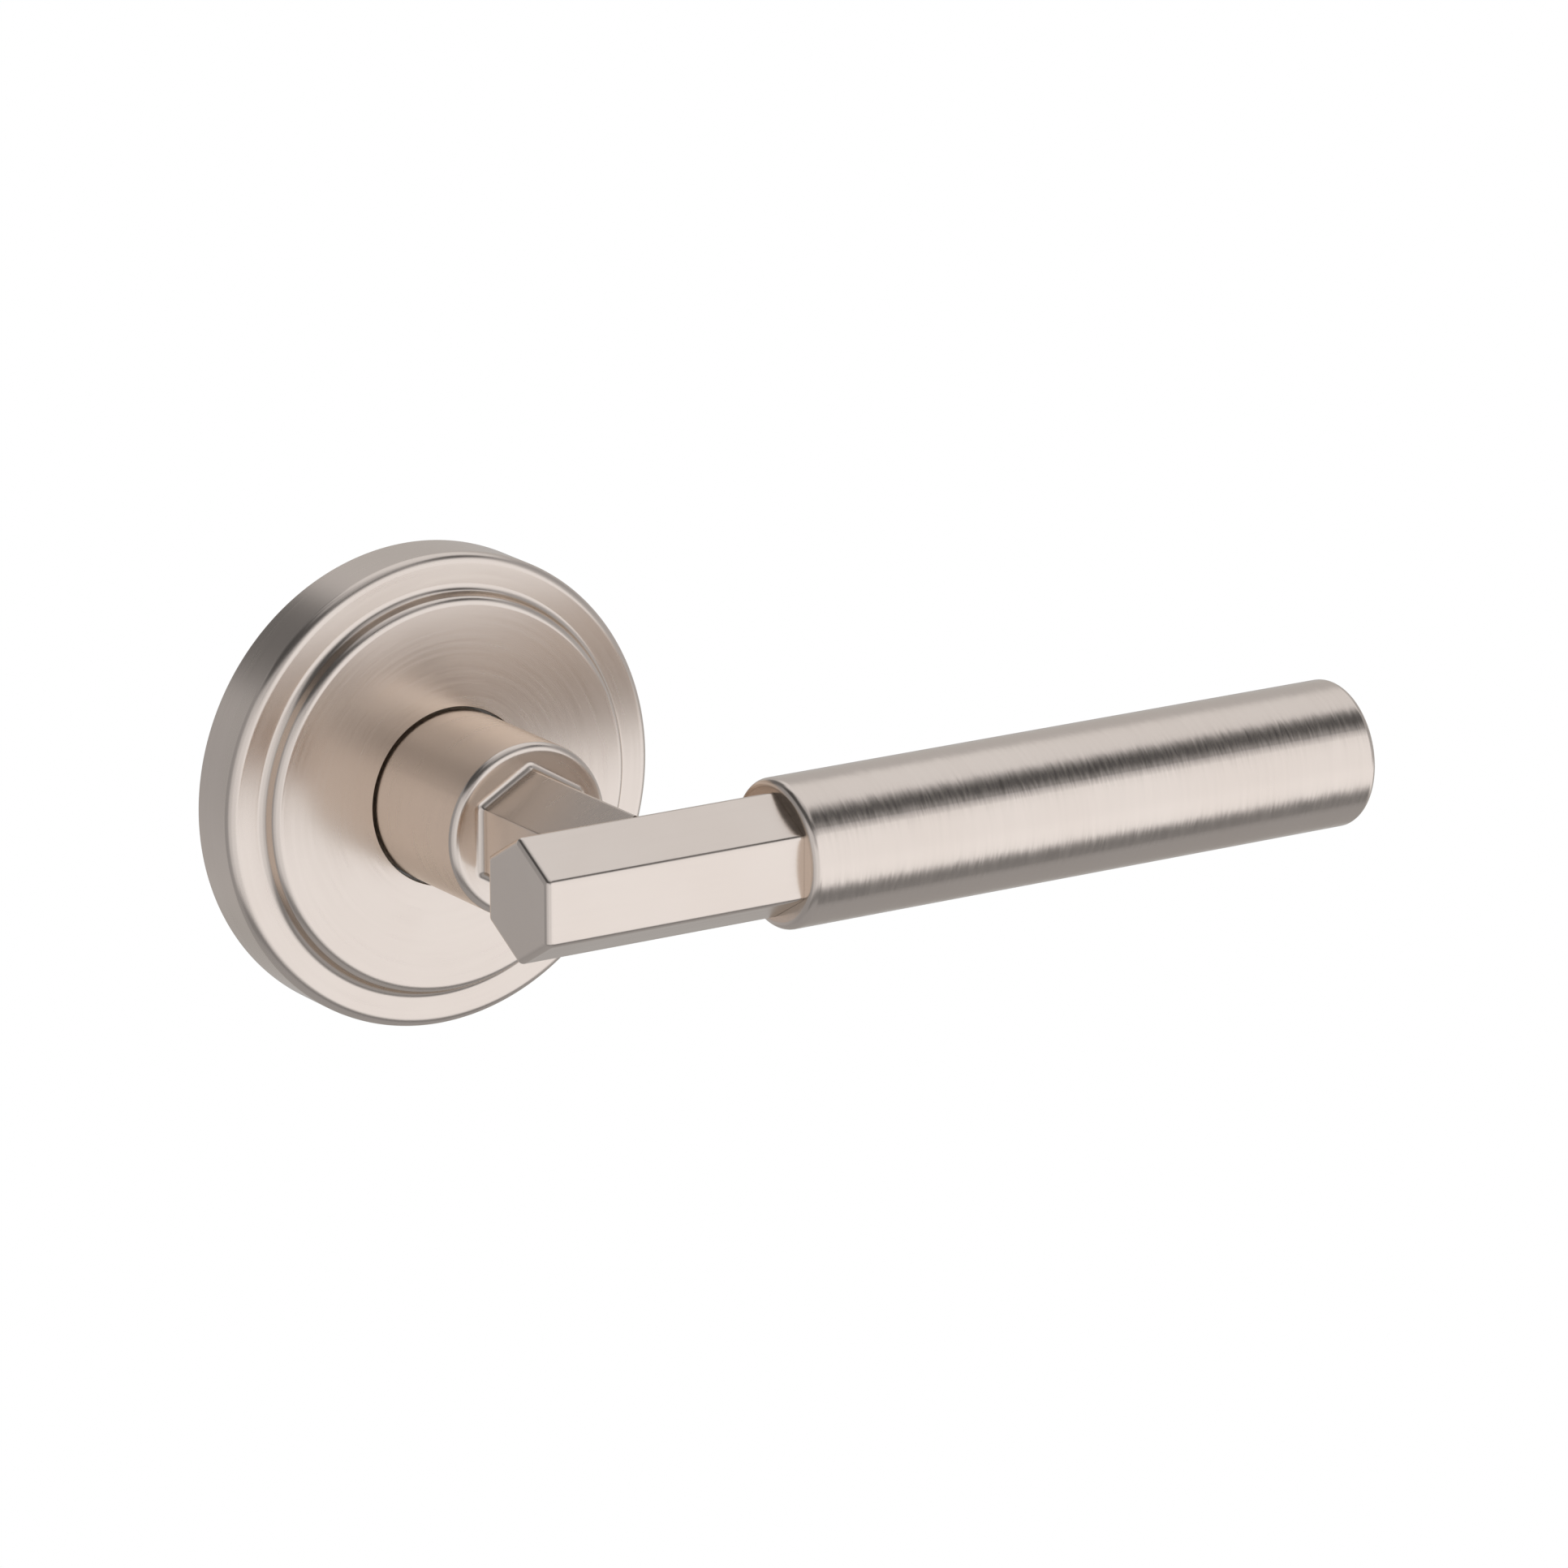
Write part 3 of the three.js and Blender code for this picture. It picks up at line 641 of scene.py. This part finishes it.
def hex_bar():
    """The bar with its edges and both ends rounded, and the spigot beyond its shoulder."""
    start, end = BAR_LOW[0], BAR_HIGH[0]
    edge = quarter_round(BAR_ROUND, steps=9)
    near_end = [(inset, start + along) for inset, along in edge]
    far_end = [(inset, BAR_SHOULDER - along) for inset, along in edge]
    rings = [[(start, -AXIS_DEPTH, 0)]]
    for inset, x in near_end + far_end[::-1]:
        rounding = max(BAR_ROUND - inset, LEAST_ROUND)
        rings.append(bar_ring(hexagon_ring(APOTHEM - inset, rounding), x))
    corners = [(SPIGOT_RADIUS, BAR_SHOULDER, 0.1), (SPIGOT_RADIUS, end, SPIGOT_EDGE), (0, end, 0)]
    angles = angles_of(hexagon_ring(APOTHEM, BAR_ROUND))
    rings += [bar_ring(circle(r, angles), x) for r, x in rounded(corners)[:-1]]
    rings.append([(end, -AXIS_DEPTH, 0)])
    piece = new_object("lever_bar", *skin(rings))
    finish_piece(piece, "hex_bar", "lever", NICKEL_LONG)


def grip_sleeve():
    """A tube with an end wall, which the bar comes through by a hexagonal hole."""
    start, end = GRIP_LOW[0], GRIP_HIGH[0]
    hole = hexagon_ring(APOTHEM + GRIP_PLAY, BAR_ROUND)
    rings = [bar_ring(hole, start), bar_ring(hole, start + GRIP_WALL)]
    corners = [
        (GRIP_BORE, start + GRIP_WALL, 0),
        (GRIP_BORE, end, 0.1),
        (GRIP_RADIUS, end, GRIP_EDGE),
        (GRIP_RADIUS, start, GRIP_EDGE),
        (APOTHEM, start, 0),
    ]
    angles = angles_of(hole)
    rings += [bar_ring(circle(r, angles), x) for r, x in rounded(corners, steps=10)[:-1]]
    piece = new_object("grip_tube", *skin(rings, closed=True))
    screw_low, screw_high = box_mm("grip_set_screw")
    middle = (screw_low[0] + screw_high[0]) / 2
    radius = screw_high[0] - middle + GRIP_SCREW_PLAY
    low, high = -GRIP_RADIUS - DRILL_LEAD, -GRIP_BORE + DRILL_LEAD
    drill(piece, middle, AXIS_DEPTH, low, high, radius)
    finish_piece(piece, "grip_sleeve", "lever", NICKEL_ROUND_X)


def grip_end_plug():
    """A disc with soft edges, inside the grip's rim."""
    low, high = box_mm("grip_end_plug")
    radius = high[2]
    corners = [(0, low[0], 0), (radius, low[0], 0.3), (radius, high[0], 0.35), (0, high[0], 0)]
    piece = turned("grip_plug", rounded(corners), "X", (0, -AXIS_DEPTH, 0), sides=128)
    finish_piece(piece, "grip_end_plug", "lever", NICKEL_ROUND_X)


def spindle():
    """A square bar with soft edges and a tapered back end."""
    half = SPINDLE_HIGH[2]
    back, front = -SPINDLE_HIGH[1], -SPINDLE_LOW[1]
    stations = [
        (SPINDLE_TAPER + 0.05, back),
        (SPINDLE_TAPER, back + 0.03),
        (0, back + SPINDLE_TAPER_RUN),
        (0, front),
    ]
    rings = [[(0, -back, 0)]]
    for inset, depth in stations:
        rings.append(flat_ring(rounded_square(half - inset, SPINDLE_EDGE), depth))
    rings.append([(0, -front, 0)])
    piece = new_object("spindle_bar", *skin(rings))
    finish_piece(piece, "spindle", "lever", ZINC)


def fixing_post(side):
    """A headed post with a threaded bore, open towards the door."""
    node = "fixing_post_" + side
    low, high = box_mm(node)
    centre = (low[0] + high[0]) / 2
    tip, front = -high[1], -low[1]
    bore_start, bore_end = tip + BORE_CHAMFER, front - POST_FLOOR
    thread = []
    for i in reversed(range(int((bore_end - tip) / THREAD_PITCH))):
        start = bore_start + i * THREAD_PITCH
        thread.append((BORE_RADIUS, start + THREAD_PITCH * THREAD_CREST, 0))
        thread.append((BORE_RADIUS + THREAD_DEPTH, start + THREAD_PITCH * THREAD_ROOT, 0))
    corners = [
        (0, bore_end, 0),
        *thread,
        (BORE_RADIUS, bore_start, 0),
        (BORE_RADIUS + BORE_CHAMFER, tip, 0.05),
        (POST_RADIUS, tip, 0.4),
        (POST_RADIUS, front - POST_HEAD, 0.1),
        (POST_HEAD_RADIUS, front - POST_HEAD, 0.15),
        (POST_HEAD_RADIUS, front, 0.3),
        (0, front, 0),
    ]
    piece = turned("post_" + side, rounded(corners), centre=(centre, 0, 0), sides=72)
    finish_piece(piece, node, "rose", ZINC)


# ------------------------------------------------------------------ CAD pieces that stay

def dress_frame():
    """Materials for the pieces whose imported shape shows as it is."""
    materials = {
        "zinc_plated_steel": ZINC,
        "spring_steel": plain_metal("spring_steel", (0.36, 0.36, 0.37, 1), 0.3),
        "bronze": plain_metal("sintered_bronze", (0.62, 0.43, 0.20, 1), 0.45, grain=4000, depth=4e-6),
        "black_steel": plain_metal("black_oxide", (0.05, 0.05, 0.055, 1), 0.4),
        "nylon": nylon_material(),
        "satin_nickel": NICKEL_ROUND_Y,
    }
    slots = {p["node"]: p["material_slot"] for p in frame["record"]["subparts"]}
    for name, node in frame["nodes"].items():
        dress(node.data, materials[slots[name]])
        shade(node.data)


# ------------------------------------------------------------------ floor, light, camera

FLOOR_LEVEL = -240
FLOOR_HALF = 30000


def white_floor():
    """A plain pale floor well below the handle."""
    material, t = new_material("pale_floor")
    t.output(t.add("ShaderNodeEmission", {"Color": (1, 1, 1, 1), "Strength": 1.0}))
    signs = ((-1, -1), (1, -1), (1, 1), (-1, 1))
    corners = [(x * FLOOR_HALF, y * FLOOR_HALF, FLOOR_LEVEL) for x, y in signs]
    floor = new_object("floor", corners, [(0, 1, 2, 3)])
    floor.data.materials.append(material)
    floor.visible_glossy = False
    floor.visible_diffuse = False
    floor.visible_shadow = False


# The studio's light as a grey room with soft-edged rectangles in it, each laid over the ones
# before. Azimuth 0 is straight in front of the door and grows towards +X. Angles are in
# degrees: centre azimuth, half width, lowest and highest elevation, then the level.
DAYLIGHT = (1.03, 1.07, 1.14, 1.0)
ROOM_LEVEL = 0.48
ROOM_PANELS = {
    "floor": (0, 200, -100, -36, 0.37),
    "floor shade": (-15, 85, -58, -41, 0.20),
    "ceiling": (0, 200, 83, 100, 0.71),
    "left wall": (-119, 25, -58, 34, 0.34),
    "right wall": (94, 25, 12, 37, 0.38),
    "back right wall": (152, 43, -31, 46, 0.52),
    "overhead softbox": (125, 70, 38, 81, 0.83),
    "left flag": (-85, 65, 36, 70, 0.07),
    "back flag": (-163, 18, 19, 53, 0.15),
    "right flag": (59, 20, 38, 57, 0.04),
    "front flag": (0, 29, 43, 57, 0.09),
    "left window": (-61, 24, -40, 35, 0.66),
    "front window": (-21, 33, -39, 17, 0.83),
    "right window": (23, 29, -31, 32, 1.02),
    "low window": (55, 27, -37, -10, 1.06),
}
SOFT_SIDES = 7
SOFT_ENDS = 5


def studio_light():
    """The room and its panels as a world that lights the handle from every side."""
    world = bpy.data.worlds.new("studio")
    bpy.context.scene.world = world
    world.use_nodes = True
    t = Tree(world.node_tree)
    x, y, z = t.split(t.place("Generated"))
    azimuth = t.math("DEGREES", t.math("ARCTAN2", x, t.math("MULTIPLY", y, -1.0)))
    elevation = t.math("DEGREES", t.math("ARCSINE", z))
    light = ROOM_LEVEL
    for centre, half, low, high, level in ROOM_PANELS.values():
        away = t.math("PINGPONG", t.math("SUBTRACT", azimuth, centre), 180)
        sides = t.remap(away, half - SOFT_SIDES, half + SOFT_SIDES, 1.0, 0.0)
        bottom = t.remap(elevation, low - SOFT_ENDS, low + SOFT_ENDS)
        top = t.remap(elevation, high - SOFT_ENDS, high + SOFT_ENDS, 1.0, 0.0)
        cover = t.math("MULTIPLY", sides, t.math("MULTIPLY", bottom, top))
        light = t.mix_numbers(cover, light, level)
    background = t.add("ShaderNodeBackground", {"Color": DAYLIGHT, "Strength": light})
    t.output(background, "ShaderNodeOutputWorld")


CAMERA_AZIMUTH = math.radians(-32.98)
CAMERA_ELEVATION = math.radians(16.02)
CAMERA_DISTANCE = 1.24
CAMERA_TARGET = Vector((0.04287, -0.02818, -0.00087))
CAMERA_LENS = 207.45


def camera():
    """Looks at the lever from in front, to its left and a little above."""
    across, level = math.sin(CAMERA_AZIMUTH), math.cos(CAMERA_ELEVATION)
    forward = -math.cos(CAMERA_AZIMUTH)
    back = Vector((across * level, forward * level, math.sin(CAMERA_ELEVATION)))
    data = bpy.data.cameras.new("camera")
    data.sensor_width = 36
    data.lens = CAMERA_LENS
    data.clip_start, data.clip_end = 0.05, 100
    view = bpy.data.objects.new("camera", data)
    view.location = CAMERA_TARGET + back * CAMERA_DISTANCE
    view.rotation_euler = (-back).to_track_quat("-Z", "Y").to_euler()
    bpy.context.scene.collection.objects.link(view)
    bpy.context.scene.camera = view


dress_frame()
rosette_cover()
lever_neck()
hex_bar()
grip_sleeve()
grip_end_plug()
spindle()
fixing_post("left")
fixing_post("right")
white_floor()
studio_light()
camera()
bpy.context.scene.view_settings.view_transform = "Standard"
